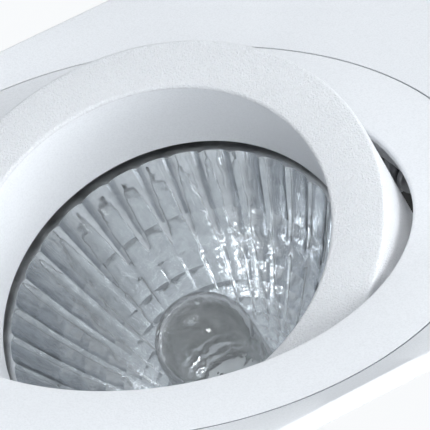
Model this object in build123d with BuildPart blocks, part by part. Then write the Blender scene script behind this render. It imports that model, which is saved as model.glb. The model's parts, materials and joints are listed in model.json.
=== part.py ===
from build123d import *

import os
from math import cos, dist, pi, radians, sin, sqrt

# Recessed ceiling spotlight: a dished rectangular trim plate, a flush swivel ring, a tilting
# lamp ring with a deep baffle, and a 50 mm reflector lamp, held in the ceiling by two sprung clips.
# Millimetres, +Z up. The ceiling's underside is Z = 0, so the lamp faces down, to -Z.

# Trim plate
plate_end = 20.0
plate_border = 4.0
plate_corner_r = 1.2
plate_rim = 0.5
face_drop = 1.0
dish_depth = 2.0
edge_chamfer = 1.0

# Collar that goes up into the ceiling's round cut-out
collar_lip = 1.55
collar_wall = 1.8
collar_height = 9.0
ledge_thickness = 1.1
seat_thickness = 3.9

# Swivel ring
swivel_lip = 5.65
swivel_groove = 0.2
swivel_gap = 1.35
swivel_edge_r = 0.5
flange_thickness = 1.85
flange_play = 0.05
lip_thickness = 1.0
boss_depth = 2.3
barrel_wall = 2.2
barrel_fit = 0.08
boss_width = 9.0
lug_width = 14.0
lug_top = 8.7

# Friction washer and snap ring that hold the swivel ring up
washer_thickness = 0.45
washer_width = 1.75
snap_thickness = 0.7
snap_groove = 0.7
snap_width = 2.4
snap_gap = 8.0

# Swivel stop
stop_thickness = 1.3
stop_width = 6.0
nose_width = 4.0
stop_nose = 1.7
stop_clearance = 0.3

# Tilt pivots
pivot_azimuth = 60.6
pivot_depth = 6.2
rest_tilt = -25.3
pivot_pin_r = 1.3
pivot_pin_bite = 3.3
pivot_thread_r = 1.6
pivot_fit = 0.05
pivot_washer_play = 0.15
pivot_washer_r = 3.0
slot_width = 0.6
slot_depth = 0.8

# Tilt ring, measured along its own axis from the pivots, to the rear
ring_face = 7.25
ring_front = 5.8
ring_rear = 1.8
ring_front_edge_r = 0.5
ring_rear_edge_r = 0.8
skirt_wall = 1.8
skirt_rear = 18.0
baffle_lip = 0.8
baffle_flare = 0.3
baffle_depth = 13.1
cup_wall = 1.6
cup_depth = 5.9
cup_clearance = 0.7
snap_wire_r = 0.7
snap_wire_fit = 0.05
snap_wire_opening = 40.0

# Reflector lamp
lamp_r = 25.0
lamp_gap = 0.4
glass_thickness = 1.0
glass_inset = 0.1
glass_chamfer = 0.2
lamp_rim = 2.1
bowl_lip = 1.4
bowl_depth = 24.3
bowl_wall = 2.2
neck_bore_r = 7.0
neck_wall = 2.5
neck_length = 4.3
capsule_r = 6.6
capsule_wall = 0.8
capsule_gap = 2.7
capsule_seat = 0.7
pinch_play = 0.05
pinch_depth = 1.2
tip_r = 1.8
tip_height = 0.6
filament_r = 0.8
lead_r = 0.35
lead_spread = 1.6
lead_length = 3.0
base_r = 12.5
base_length = 12.5
base_edge = 0.8
pin_spread = 5.0
pin_shank_r = 1.55
pin_shank_length = 4.6
pin_head_r = 2.5
pin_head_length = 2.4

# Lamp holder
holder_length = 28.0
holder_width = 17.0
holder_corner_r = 5.0
holder_height = 15.8
holder_gap = 0.2
slot_clearance = 0.4
contact_gap = 0.1
contact_thickness = 1.4
lead_hole_r = 1.5

# Ceiling clips, on the plate's long axis
bracket_gap = 2.1
bracket_depth = 4.5
bracket_width = 15.0
bracket_gauge = 0.9
bracket_top_r = 1.5
bracket_clearance = 0.7
hinge_height = 9.2
hinge_pin_r = 1.0
hinge_fit = 0.05
screw_r = 1.2
screw_head_r = 1.9
screw_head_height = 1.4
screw_fit = 0.05
screw_bite = 2.2
arm_reach = 24.0
arm_gauge = 1.0
ear_gauge = 1.0
ear_r = 2.05
ear_play = 0.3
arm_root = 3.4
stop_bar_height = 0.8
stop_bar_gap = 0.05
pad_length = 8.0
pad_drop = 3.25
pad_edge_r = 1.2
spring_wire = 0.8
spring_r = 1.6
spring_turns = 5
spring_pitch = 1.35
spring_tail = 6.0
spring_leg = 9.0
spring_seat = 0.05

# Heights above the ceiling's underside
face_z = -face_drop
edge_z = face_z - dish_depth
lip_top = face_z + lip_thickness
flange_top = face_z + flange_thickness
ledge_z = flange_top + flange_play
ledge_top = ledge_z + ledge_thickness
seat_z = ledge_z + seat_thickness
barrel_top = seat_z
washer_z = ledge_top + flange_play
snap_z = washer_z + washer_thickness
pivot_z = face_z + pivot_depth

# Radii that follow from the lamp, from the inside outwards
bowl_mouth_r = lamp_r - bowl_lip
baffle_rear_r = lamp_r - baffle_lip
baffle_front_r = baffle_rear_r + baffle_flare
ring_r = baffle_front_r + ring_face
swivel_bore_r = ring_r + swivel_gap
barrel_inner_r = swivel_bore_r + boss_depth
barrel_r = barrel_inner_r + barrel_wall
swivel_r = barrel_r + swivel_lip
well_r = swivel_r + swivel_groove
collar_r = well_r + collar_lip
plate_length = 2 * (collar_r + plate_end)
plate_width = 2 * (collar_r + plate_border)
neck_r = barrel_r + barrel_fit
snap_inner_r = barrel_r - snap_groove
snap_outer_r = snap_inner_r + snap_width
pocket_r = snap_outer_r + stop_clearance


def section(azimuth):
    """Upright plane through the swivel axis: local x is the radius, local y the height."""
    turn = radians(azimuth)
    return Plane(origin=(0, 0, 0), x_dir=(cos(turn), sin(turn), 0), z_dir=(sin(turn), -cos(turn), 0))


def radial(azimuth, radius, height):
    """Plane that faces outwards along a radius, with its local y axis up."""
    turn = radians(azimuth)
    out = Vector(cos(turn), sin(turn), 0)
    return Plane(origin=out * radius + Vector(0, 0, height), x_dir=(-sin(turn), cos(turn), 0), z_dir=out)


# Tilt axis, and the lamp's own axis pointing to the rear at the rest tilt
pivot = Vector(0, 0, pivot_z)
tilt_dir = Vector(cos(radians(pivot_azimuth)), sin(radians(pivot_azimuth)), 0)
rear_dir = Vector(0, 0, 1).rotate(Axis((0, 0, 0), tilt_dir), rest_tilt)
lamp_axis = Axis(pivot, rear_dir)
head_section = Plane(origin=pivot, x_dir=tilt_dir, z_dir=tilt_dir.cross(rear_dir))


def head_level(distance):
    """Plane square to the lamp's axis, this far behind the pivots, with local x on the tilt axis."""
    return Plane(origin=pivot + rear_dir * distance, x_dir=tilt_dir, z_dir=rear_dir)


# Places along the lamp's axis, from the pivots to the rear
baffle_rear = baffle_depth - ring_front
cup_rear = baffle_rear + cup_depth
cup_r = lamp_r + cup_clearance
glass_front = baffle_rear + lamp_gap
bowl_front = glass_front + glass_thickness
rim_rear = bowl_front + lamp_rim
bowl_rear = bowl_front + bowl_depth
neck_rear = bowl_rear + neck_length
capsule_tip = bowl_front + capsule_gap
capsule_rear = bowl_rear + capsule_seat
base_rear = neck_rear + base_length
pin_head_front = base_rear + pin_shank_length
pin_rear = pin_head_front + pin_head_length
contact_front = pin_rear + contact_gap
contact_rear = contact_front + contact_thickness
holder_front = base_rear + holder_gap
holder_rear = holder_front + holder_height

# Clip places: brackets stand on the seat at azimuths 0 and 180
clips = {"right": 0, "left": 180}
bracket_inner = barrel_r + bracket_gap
hinge_z = seat_z + hinge_height
bar_front = bracket_inner + bracket_depth
hinge_x = bracket_inner + bracket_depth / 2 + spring_wire / 2 + hinge_fit
cheek_y = (bracket_width - bracket_gauge) / 2
ear_y = bracket_width / 2 - bracket_gauge - ear_play - ear_gauge / 2
arm_width = 2 * ear_y + ear_gauge
arm_top = spring_r - spring_wire / 2 - spring_seat
arm_under = arm_top - arm_gauge
bar_inner = hinge_x - spring_r + spring_wire / 2 + spring_seat
screw_x = bracket_inner + bracket_depth / 2

# Trim plate
with BuildPart() as trim_plate:
    with BuildSketch(Plane.XY.offset(edge_z)):
        RectangleRounded(plate_length, plate_width, plate_corner_r)
    extrude(amount=-edge_z)
    chamfer(trim_plate.edges().group_by(Axis.Z)[-1], length=edge_chamfer)
    # Dish: a ruled face from the round well to the straight rim
    rim_x = plate_length / 2 - plate_rim
    rim_y = plate_width / 2 - plate_rim
    corner = Vector(rim_x, rim_y, 0).normalized() * well_r
    with BuildSketch(Plane.XY.offset(edge_z)):
        Rectangle(2 * rim_x, 2 * rim_y)
    with BuildSketch(Plane.XY.offset(face_z)):
        with BuildLine():
            ThreePointArc((-corner.X, -corner.Y), (0, -well_r), (corner.X, -corner.Y))
            ThreePointArc((corner.X, -corner.Y), (well_r, 0), (corner.X, corner.Y))
            ThreePointArc((corner.X, corner.Y), (0, well_r), (-corner.X, corner.Y))
            ThreePointArc((-corner.X, corner.Y), (-well_r, 0), (-corner.X, -corner.Y))
        make_face()
    loft(ruled=True, mode=Mode.SUBTRACT)
    # Collar, with the seat for the brackets and the ledge for the swivel ring
    with BuildSketch(section(0)):
        with BuildLine():
            Polyline(
                (neck_r, face_z),
                (collar_r, face_z),
                (collar_r, collar_height),
                (collar_r - collar_wall, collar_height),
                (collar_r - collar_wall, seat_z),
                (pocket_r, seat_z),
                (pocket_r, ledge_top),
                (neck_r, ledge_top),
                close=True,
            )
        make_face()
    revolve(axis=Axis.Z)
    with BuildSketch(Plane.XY.offset(edge_z)):
        Circle(neck_r)
    extrude(amount=ledge_top - edge_z, mode=Mode.SUBTRACT)
    with BuildSketch(Plane.XY.offset(edge_z)):
        Circle(well_r)
    extrude(amount=ledge_z - edge_z, mode=Mode.SUBTRACT)
    # Gaps in the collar for the clips
    with BuildSketch(Plane.XY.offset(seat_z)):
        Rectangle(2 * collar_r + collar_wall, bracket_width + 2 * bracket_clearance)
    extrude(amount=collar_height - seat_z + collar_wall, mode=Mode.SUBTRACT)
    # Swivel stop nose, which reaches in from the seat over the snap ring
    with BuildSketch(section(90)):
        with Locations((pocket_r - stop_nose, seat_z)):
            Rectangle(stop_nose + collar_wall, stop_thickness, align=(Align.MIN, Align.MAX))
    extrude(amount=nose_width / 2, both=True)
    # Pilot holes for the bracket screws
    with BuildSketch(Plane.XY.offset(seat_z)):
        with PolarLocations(screw_x, len(clips)):
            Circle(screw_r + screw_fit)
    extrude(amount=-screw_bite, mode=Mode.SUBTRACT)
trim_plate.part.label = "trim_plate"
export_step(trim_plate.part, "parts/trim_plate.step")

# Swivel ring
with BuildPart() as swivel_ring:
    with BuildSketch(section(0)):
        with BuildLine():
            Polyline(
                (swivel_bore_r, face_z),
                (swivel_r, face_z),
                (swivel_r, flange_top),
                (barrel_r, flange_top),
                (barrel_r, lug_top),
                (barrel_inner_r, lug_top),
                (barrel_inner_r, lip_top),
                (swivel_bore_r, lip_top),
                close=True,
            )
        make_face()
    revolve(axis=Axis.Z)
    front_edges = swivel_ring.edges().filter_by(GeomType.CIRCLE).group_by(Axis.Z)[0]
    fillet(front_edges.sort_by(SortBy.RADIUS)[0], radius=swivel_edge_r)
    # The barrel is low except at the two pivot lugs
    with BuildSketch(Plane.XY.offset(barrel_top)):
        Circle(swivel_r)
        Rectangle(2 * swivel_r, lug_width, rotation=pivot_azimuth, mode=Mode.SUBTRACT)
    extrude(amount=lug_top - barrel_top, mode=Mode.SUBTRACT)
    # Pivot bosses
    for azimuth in (pivot_azimuth, pivot_azimuth + 180):
        boss_middle = (lip_top + lug_top) / 2
        with BuildSketch(radial(azimuth, swivel_bore_r, boss_middle)):
            Rectangle(boss_width, lug_top - lip_top)
        extrude(amount=barrel_r - swivel_bore_r - barrel_wall / 2)
        with BuildSketch(radial(azimuth, swivel_bore_r, pivot_z)):
            Circle(pivot_thread_r + pivot_fit)
        extrude(amount=barrel_r - swivel_bore_r + barrel_fit, mode=Mode.SUBTRACT)
    # Groove for the snap ring
    with BuildSketch(section(0)):
        with Locations((snap_inner_r, snap_z)):
            Rectangle(barrel_r, snap_thickness + flange_play, align=(Align.MIN, Align.MIN))
    revolve(axis=Axis.Z, mode=Mode.SUBTRACT)
    # Stop tab
    tab_width = barrel_wall / 2 + pocket_r - barrel_r - stop_clearance
    with BuildSketch(section(270)):
        with Locations((barrel_r - barrel_wall / 2, barrel_top)):
            Rectangle(tab_width, stop_thickness, align=(Align.MIN, Align.MAX))
    extrude(amount=stop_width / 2, both=True)
swivel_ring.part.label = "swivel_ring"
export_step(swivel_ring.part, "parts/swivel_ring.step")

# Friction washer under the snap ring
with BuildPart() as friction_washer:
    with BuildSketch(Plane.XY.offset(washer_z)):
        Circle(neck_r + washer_width)
        Circle(neck_r, mode=Mode.SUBTRACT)
    extrude(amount=washer_thickness)
friction_washer.part.label = "friction_washer"
export_step(friction_washer.part, "parts/friction_washer.step")

# Snap ring, open on one side
with BuildPart() as snap_ring:
    with BuildSketch(Plane.XY.offset(snap_z)):
        Circle(snap_outer_r)
        Circle(snap_inner_r + flange_play, mode=Mode.SUBTRACT)
        with Locations((0, -snap_outer_r)):
            Rectangle(snap_gap, 2 * snap_width, mode=Mode.SUBTRACT)
    extrude(amount=snap_thickness)
snap_ring.part.label = "snap_ring"
export_step(snap_ring.part, "parts/snap_ring.step")

# Pivot screws: threaded in the bosses, with a plain pin that enters the tilt ring
with BuildPart() as pivot_screws:
    for azimuth in (pivot_azimuth, pivot_azimuth + 180):
        with BuildSketch(radial(azimuth, swivel_bore_r, pivot_z)):
            Circle(pivot_thread_r)
        extrude(amount=barrel_r - swivel_bore_r)
        with BuildSketch(radial(azimuth, ring_r - pivot_pin_bite, pivot_z)):
            Circle(pivot_pin_r)
        extrude(amount=swivel_bore_r - ring_r + pivot_pin_bite)
        with BuildSketch(radial(azimuth, barrel_r, pivot_z)):
            Rectangle(2 * pivot_thread_r, slot_width)
        extrude(amount=-slot_depth, mode=Mode.SUBTRACT)
pivot_screws.part.label = "pivot_screws"
export_step(pivot_screws.part, "parts/pivot_screws.step")

# Pivot washers, between the bosses and the tilt ring
with BuildPart() as pivot_washers:
    for azimuth in (pivot_azimuth, pivot_azimuth + 180):
        with BuildSketch(radial(azimuth, swivel_bore_r, pivot_z)):
            Circle(pivot_washer_r)
            Circle(pivot_pin_r + pivot_fit, mode=Mode.SUBTRACT)
        extrude(amount=-(swivel_bore_r - ring_r - pivot_washer_play))
pivot_washers.part.label = "pivot_washers"
export_step(pivot_washers.part, "parts/pivot_washers.step")

# Tilt ring: a thick front ring, its skirt, the baffle and the cup that takes the lamp's rim
skirt_inner_r = ring_r - skirt_wall
cup_outer_r = cup_r + cup_wall
wire_seat = rim_rear + snap_wire_r + snap_wire_fit
wire_ring_r = cup_r - snap_wire_r / 2
with BuildPart() as tilt_ring:
    with BuildSketch(head_section):
        with BuildLine():
            Polyline(
                (baffle_front_r, -ring_front),
                (ring_r, -ring_front),
                (ring_r, skirt_rear),
                (skirt_inner_r, skirt_rear),
                (skirt_inner_r, ring_rear),
                (cup_outer_r, ring_rear),
                (cup_outer_r, cup_rear),
                (cup_r, cup_rear),
                (cup_r, baffle_rear),
                (baffle_rear_r, baffle_rear),
                close=True,
            )
        make_face()
    revolve(axis=lamp_axis)
    rounds = tilt_ring.edges().filter_by(GeomType.CIRCLE)
    fillet(rounds.group_by(SortBy.RADIUS)[-1].sort_by(lamp_axis)[-1], radius=ring_rear_edge_r)
    fillet(tilt_ring.edges().group_by(lamp_axis)[0], radius=ring_front_edge_r)
    with BuildSketch(head_section):
        with Locations((wire_ring_r, wire_seat)):
            Circle(snap_wire_r + snap_wire_fit)
    revolve(axis=lamp_axis, mode=Mode.SUBTRACT)
    for azimuth in (pivot_azimuth, pivot_azimuth + 180):
        with BuildSketch(radial(azimuth, ring_r - pivot_pin_bite - pivot_fit, pivot_z)):
            Circle(pivot_pin_r + pivot_fit)
        extrude(amount=pivot_pin_bite + swivel_gap, mode=Mode.SUBTRACT)
tilt_ring.part.label = "tilt_ring"
export_step(tilt_ring.part, "parts/tilt_ring.step")

# Lamp snap wire, an open ring sprung into the cup's groove
with BuildPart() as lamp_snap_wire:
    with BuildSketch(head_section):
        with Locations((wire_ring_r, wire_seat)):
            Circle(snap_wire_r)
    revolve(axis=lamp_axis, revolution_arc=360 - snap_wire_opening)
lamp_snap_wire.part.label = "lamp_snap_wire"
export_step(lamp_snap_wire.part, "parts/lamp_snap_wire.step")


def bowl_point(radius, inset):
    """Point on the reflector's parabola, set back square to it by the inset."""
    focal = (bowl_mouth_r**2 - neck_bore_r**2) / (4 * bowl_depth)
    depth = (bowl_mouth_r**2 - radius**2) / (4 * focal)
    slope = radius / (2 * focal)
    length = sqrt(1 + slope**2)
    return radius + inset * slope / length, bowl_front + depth + inset / length


# Lamp reflector
neck_outer_r = neck_bore_r + neck_wall
middle_r = (bowl_mouth_r + neck_bore_r) / 2
with BuildPart() as lamp_reflector:
    with BuildSketch(head_section):
        with BuildLine():
            ThreePointArc((neck_bore_r, bowl_rear), bowl_point(middle_r, 0), (bowl_mouth_r, bowl_front))
            Polyline((bowl_mouth_r, bowl_front), (lamp_r, bowl_front), (lamp_r, rim_rear))
            ThreePointArc(
                (lamp_r, rim_rear),
                bowl_point(middle_r, bowl_wall),
                (neck_outer_r, bowl_rear + bowl_wall / 2),
            )
            Polyline(
                (neck_outer_r, bowl_rear + bowl_wall / 2),
                (neck_outer_r, neck_rear),
                (neck_bore_r, neck_rear),
                (neck_bore_r, bowl_rear),
            )
        make_face()
    revolve(axis=lamp_axis)
lamp_reflector.part.label = "lamp_reflector"
export_step(lamp_reflector.part, "parts/lamp_reflector.step")

# Lamp front glass
with BuildPart() as lamp_front_glass:
    with BuildSketch(head_level(glass_front)):
        Circle(lamp_r - glass_inset)
    extrude(amount=glass_thickness)
    chamfer(lamp_front_glass.edges(), length=glass_chamfer)
lamp_front_glass.part.label = "lamp_front_glass"
export_step(lamp_front_glass.part, "parts/lamp_front_glass.step")

# Lamp capsule: a domed quartz tube
capsule_bore_r = capsule_r - capsule_wall
with BuildPart() as lamp_capsule:
    with BuildSketch(head_section):
        with BuildLine():
            RadiusArc((0, capsule_tip), (capsule_r, capsule_tip + capsule_r), -capsule_r)
            Polyline(
                (capsule_r, capsule_tip + capsule_r),
                (capsule_r, capsule_rear),
                (capsule_bore_r, capsule_rear),
                (capsule_bore_r, capsule_tip + capsule_r),
            )
            RadiusArc((capsule_bore_r, capsule_tip + capsule_r), (0, capsule_tip + capsule_wall), capsule_bore_r)
            Line((0, capsule_tip + capsule_wall), (0, capsule_tip))
        make_face()
    revolve(axis=lamp_axis)
    # Tip where the tube was sealed off
    with Locations(head_level(capsule_tip + tip_r - tip_height).location):
        Sphere(tip_r)
lamp_capsule.part.label = "lamp_capsule"
export_step(lamp_capsule.part, "parts/lamp_capsule.step")

# Capsule pinch, the quartz seal that stands on the lamp's base
pinch_front = capsule_rear - pinch_depth
with BuildPart() as lamp_pinch:
    with BuildSketch(head_level(pinch_front)):
        Circle(capsule_bore_r - pinch_play)
    extrude(amount=neck_rear - pinch_front)
lamp_pinch.part.label = "lamp_pinch"
export_step(lamp_pinch.part, "parts/lamp_pinch.step")

# Lamp filament, a cross coil on two leads
with BuildPart() as lamp_filament:
    with BuildSketch(head_level(pinch_front)):
        with GridLocations(2 * lead_spread, 0, 2, 1):
            Circle(lead_r)
    extrude(amount=-lead_length)
    coil_plane = Plane(origin=head_level(pinch_front - lead_length).origin, z_dir=tilt_dir)
    with BuildSketch(coil_plane):
        Circle(filament_r)
    extrude(amount=lead_spread + lead_r, both=True)
lamp_filament.part.label = "lamp_filament"
export_step(lamp_filament.part, "parts/lamp_filament.step")

# Lamp base
with BuildPart() as lamp_base:
    with BuildSketch(head_level(neck_rear)):
        Circle(base_r)
    extrude(amount=base_length)
    chamfer(lamp_base.edges(), length=base_edge)
lamp_base.part.label = "lamp_base"
export_step(lamp_base.part, "parts/lamp_base.step")

# Lamp pins, with the mushroom heads that twist into the holder
with BuildPart() as lamp_pins:
    with BuildSketch(head_level(base_rear)):
        with GridLocations(2 * pin_spread, 0, 2, 1):
            Circle(pin_shank_r)
    extrude(amount=pin_shank_length)
    with BuildSketch(head_level(pin_head_front)):
        with GridLocations(2 * pin_spread, 0, 2, 1):
            Circle(pin_head_r)
    extrude(amount=pin_head_length)
lamp_pins.part.label = "lamp_pins"
export_step(lamp_pins.part, "parts/lamp_pins.step")

# Lamp holder
with BuildPart() as lamp_holder:
    with BuildSketch(head_level(holder_front)):
        RectangleRounded(holder_length, holder_width, holder_corner_r)
    extrude(amount=holder_height)
    chamfer(lamp_holder.edges().group_by(lamp_axis)[-1], length=base_edge)
    with BuildSketch(head_level(holder_front)):
        with GridLocations(2 * pin_spread, 0, 2, 1):
            Circle(pin_head_r + slot_clearance)
    extrude(amount=contact_rear - holder_front, mode=Mode.SUBTRACT)
    with BuildSketch(head_level(holder_rear)):
        with GridLocations(2 * pin_spread, 0, 2, 1):
            Circle(lead_hole_r)
    extrude(amount=contact_rear - holder_rear, mode=Mode.SUBTRACT)
lamp_holder.part.label = "lamp_holder"
export_step(lamp_holder.part, "parts/lamp_holder.step")

# Holder contacts, at the bottom of the two slots
with BuildPart() as holder_contacts:
    with BuildSketch(head_level(contact_front)):
        with GridLocations(2 * pin_spread, 0, 2, 1):
            Circle(pin_head_r)
    extrude(amount=contact_thickness)
holder_contacts.part.label = "holder_contacts"
export_step(holder_contacts.part, "parts/holder_contacts.step")

# Bracket screws, one in each clip bracket
with BuildPart() as bracket_screws:
    screw_seat = seat_z + bracket_gauge
    for azimuth in clips.values():
        with BuildSketch(section(azimuth)):
            with BuildLine():
                Polyline(
                    (screw_x, seat_z - screw_bite + screw_fit),
                    (screw_x + screw_r, seat_z - screw_bite + screw_fit),
                    (screw_x + screw_r, screw_seat),
                    (screw_x + screw_head_r, screw_seat),
                    (screw_x + screw_head_r, screw_seat + screw_head_height),
                    (screw_x, screw_seat + screw_head_height),
                    close=True,
                )
            make_face()
        revolve(axis=Axis(section(azimuth).from_local_coords(Vector(screw_x, 0, 0)), (0, 0, 1)))
bracket_screws.part.label = "bracket_screws"
export_step(bracket_screws.part, "parts/bracket_screws.step")


def beside(azimuth, sideways):
    """The clip's upright plane, moved sideways along its hinge."""
    return section(azimuth).offset(sideways)


def biarc(start, start_dir, end, end_dir):
    """Two arcs that leave start along start_dir and reach end along end_dir."""
    chord = end - start
    both = start_dir + end_dir
    spread = 2 * (1 - start_dir.dot(end_dir))
    reach = (-chord.dot(both) + sqrt(chord.dot(both) ** 2 + spread * chord.dot(chord))) / spread
    middle = (start + end + (start_dir - end_dir) * reach) * 0.5
    middle_dir = (end - end_dir * reach - start - start_dir * reach).normalized()
    TangentArc(start, middle, tangent=start_dir)
    TangentArc(middle, end, tangent=middle_dir)


def coil_at(quarter):
    """Point of the spring's coil after so many quarter turns, and the wire's direction there.

    The coil starts on the hinge's inner side, runs over the top and moves along the hinge.
    """
    angle = pi - quarter * pi / 2
    along = spring_pitch * (quarter / 4 - (spring_turns + 0.25) / 2)
    point = Vector(hinge_x + spring_r * cos(angle), hinge_z + spring_r * sin(angle), along)
    rise = Vector(spring_r * sin(angle), -spring_r * cos(angle), spring_pitch / (2 * pi))
    return point, rise.normalized()


coil_quarters = 4 * spring_turns + 1
coil_steps = 16
coil_points = [coil_at(step / coil_steps)[0] for step in range(coil_quarters * coil_steps + 1)]
self_gap = min(
    dist(tuple(coil_points[first]), tuple(coil_points[second])) - spring_wire
    for first in range(len(coil_points))
    for second in range(first + 2 * coil_steps, len(coil_points))
)
print(f"clip spring: least gap to itself {self_gap:.2f} mm over {spring_turns} turns")

for side, azimuth in clips.items():
    # Bracket: a foot, two cheeks and the bar that stops the arm
    with BuildPart() as bracket:
        with BuildSketch(section(azimuth)):
            with Locations((bracket_inner, seat_z)):
                Rectangle(bracket_depth, bracket_gauge, align=(Align.MIN, Align.MIN))
        extrude(amount=bracket_width / 2, both=True)
        for cheek in (cheek_y, -cheek_y):
            with BuildSketch(beside(azimuth, cheek)) as cheek_face:
                with Locations((bracket_inner, seat_z)):
                    Rectangle(bracket_depth, hinge_height + ear_r, align=(Align.MIN, Align.MIN))
                fillet(cheek_face.vertices().group_by(Axis.Y)[-1], radius=bracket_top_r)
            extrude(amount=bracket_gauge / 2, both=True)
        with BuildSketch(section(azimuth)):
            with Locations((bar_front, hinge_z - ear_r - stop_bar_gap)):
                Rectangle(bar_front - bar_inner, stop_bar_height, align=(Align.MAX, Align.MAX))
        extrude(amount=cheek_y, both=True)
        with BuildSketch(section(azimuth)):
            with Locations((hinge_x, hinge_z)):
                Circle(hinge_pin_r + hinge_fit)
        extrude(amount=bracket_width, both=True, mode=Mode.SUBTRACT)
        with BuildSketch(section(azimuth)):
            with Locations((screw_x, seat_z)):
                Rectangle(screw_r + screw_fit, 2 * bracket_gauge, align=(Align.MIN, Align.MIN))
        screw_axis = Axis(section(azimuth).from_local_coords(Vector(screw_x, 0, 0)), (0, 0, 1))
        revolve(axis=screw_axis, mode=Mode.SUBTRACT)
    bracket.part.label = f"clip_bracket_{side}"
    export_step(bracket.part, f"parts/clip_bracket_{side}.step")

    # Hinge pin, riveted over outside the cheeks
    with BuildPart() as hinge_pin:
        with BuildSketch(section(azimuth)):
            with Locations((hinge_x, hinge_z)):
                Circle(hinge_pin_r)
        extrude(amount=bracket_width / 2, both=True)
    hinge_pin.part.label = f"clip_pin_{side}"
    export_step(hinge_pin.part, f"parts/clip_pin_{side}.step")

    # Arm: a flat wing on two ears
    with BuildPart() as arm:
        with BuildSketch(section(azimuth)):
            with Locations((hinge_x + arm_root, hinge_z + arm_under)):
                Rectangle(arm_reach - arm_root, arm_gauge, align=(Align.MIN, Align.MIN))
        extrude(amount=arm_width / 2, both=True)
        for ear in (ear_y, -ear_y):
            with BuildSketch(beside(azimuth, ear)):
                with Locations((hinge_x, hinge_z)):
                    Circle(ear_r)
                with Locations((hinge_x, hinge_z - ear_r)):
                    Rectangle(arm_root + ear_r, ear_r + arm_top, align=(Align.MIN, Align.MIN))
            extrude(amount=ear_gauge / 2, both=True)
        with BuildSketch(section(azimuth)):
            with Locations((hinge_x, hinge_z)):
                Circle(hinge_pin_r + hinge_fit)
        extrude(amount=arm_width, both=True, mode=Mode.SUBTRACT)
    arm.part.label = f"clip_arm_{side}"
    export_step(arm.part, f"parts/clip_arm_{side}.step")

    # Pad under the arm's tip
    with BuildPart() as pad:
        with BuildSketch(section(azimuth)) as pad_face:
            with Locations((hinge_x + arm_reach, hinge_z + arm_under)):
                Rectangle(pad_length, pad_drop, align=(Align.MAX, Align.MAX))
            fillet(pad_face.vertices().group_by(Axis.Y)[0], radius=pad_edge_r)
        extrude(amount=arm_width / 2, both=True)
    pad.part.label = f"clip_pad_{side}"
    export_step(pad.part, f"parts/clip_pad_{side}.step")

    # Torsion spring: tail behind the stop bar, turns round the hinge pin, leg over the arm
    frame = section(azimuth)
    places = [coil_at(quarter) for quarter in range(coil_quarters + 1)]
    points = [frame.from_local_coords(point) for point, rise in places]
    rises = [frame.from_local_coords(point + rise) - frame.from_local_coords(point) for point, rise in places]
    with BuildPart() as spring:
        with BuildLine() as wire:
            Line(points[0] - rises[0] * spring_tail, points[0])
            for quarter in range(coil_quarters):
                biarc(points[quarter], rises[quarter], points[quarter + 1], rises[quarter + 1])
            Line(points[-1], points[-1] + rises[-1] * spring_leg)
        with BuildSketch(Plane(origin=wire.line @ 0, z_dir=wire.line % 0)):
            Circle(spring_wire / 2)
        sweep(path=wire.line)
    spring.part.label = f"clip_spring_{side}"
    export_step(spring.part, f"parts/clip_spring_{side}.step")
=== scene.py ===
import json
from math import atan2, cos, degrees, pi, radians, sin, sqrt, tau

import bmesh
import bpy
from mathutils import Matrix, Vector


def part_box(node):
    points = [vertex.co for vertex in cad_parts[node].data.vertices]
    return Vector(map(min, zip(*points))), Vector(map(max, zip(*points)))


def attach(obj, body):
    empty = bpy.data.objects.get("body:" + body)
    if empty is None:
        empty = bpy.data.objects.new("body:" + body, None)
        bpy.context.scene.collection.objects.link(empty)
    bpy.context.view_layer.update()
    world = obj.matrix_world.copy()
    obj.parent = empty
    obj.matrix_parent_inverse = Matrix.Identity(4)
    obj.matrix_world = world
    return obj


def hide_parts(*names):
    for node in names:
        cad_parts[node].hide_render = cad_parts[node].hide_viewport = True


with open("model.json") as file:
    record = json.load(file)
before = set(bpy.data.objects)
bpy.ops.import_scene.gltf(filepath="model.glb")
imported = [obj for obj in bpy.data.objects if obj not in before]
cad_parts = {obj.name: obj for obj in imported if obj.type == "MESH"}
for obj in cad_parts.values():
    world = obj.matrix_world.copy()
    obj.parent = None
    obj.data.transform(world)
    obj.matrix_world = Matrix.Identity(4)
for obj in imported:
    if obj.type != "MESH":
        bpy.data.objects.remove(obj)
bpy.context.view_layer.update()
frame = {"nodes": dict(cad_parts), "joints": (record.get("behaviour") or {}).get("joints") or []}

bl_info = {
    "name": "Recessed ceiling spotlight",
    "version": (1, 0, 0),
    "blender": (4, 5, 0),
    "location": "View3D > Sidebar > Spotlight",
    "description": "Dresses the packed ceiling spotlight: white castings, faceted lamp, clips and stage",
    "category": "Object",
}

MM = 0.001
JOINTS = {joint["name"]: joint for joint in frame["joints"]}

# The lamp ring's pivots and axes at rest. The tilt range is centred on the flush position.
PIVOT = Vector(JOINTS["head_tilt"]["pos_m"])
TILT = Vector(JOINTS["head_tilt"]["axis"]).normalized()
FLUSH_TURN = radians(sum(JOINTS["head_tilt"]["range_deg"]) / 2)
UP = Vector((0, 0, 1))
REAR = Matrix.Rotation(-FLUSH_TURN, 3, TILT) @ UP

# Distances within which points merge, a section's corner is found again, and two places are the same
MERGE = 0.002 * MM
CORNER = 0.005 * MM
SAME = 0.01 * MM
# How far a cutter reaches past its piece
PAST = 1.0 * MM
# Share of a face's normal along an axis: at most the first if it is upright, at least the second if flat
UPRIGHT = 0.2
FLAT = 0.99
# Mesh steps round a ring and round a softened edge, and the angle up to which faces shade as one
RING_STEPS = 240
ROUND_STEPS = 6
SMOOTH = radians(30)
# Depths of the coats' grain
CAST_GRAIN = 0.03 * MM
COARSE_GRAIN = 0.26 * MM
SATIN_GRAIN = 0.006 * MM
THIN_GRAIN = 0.01 * MM


def length(label, words, millimetres):
    """A length that a user may change, given in millimetres and kept in metres."""
    return bpy.props.FloatProperty(
        name=label, description=words, default=millimetres * MM, min=0.0, precision=5, unit="LENGTH"
    )


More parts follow.
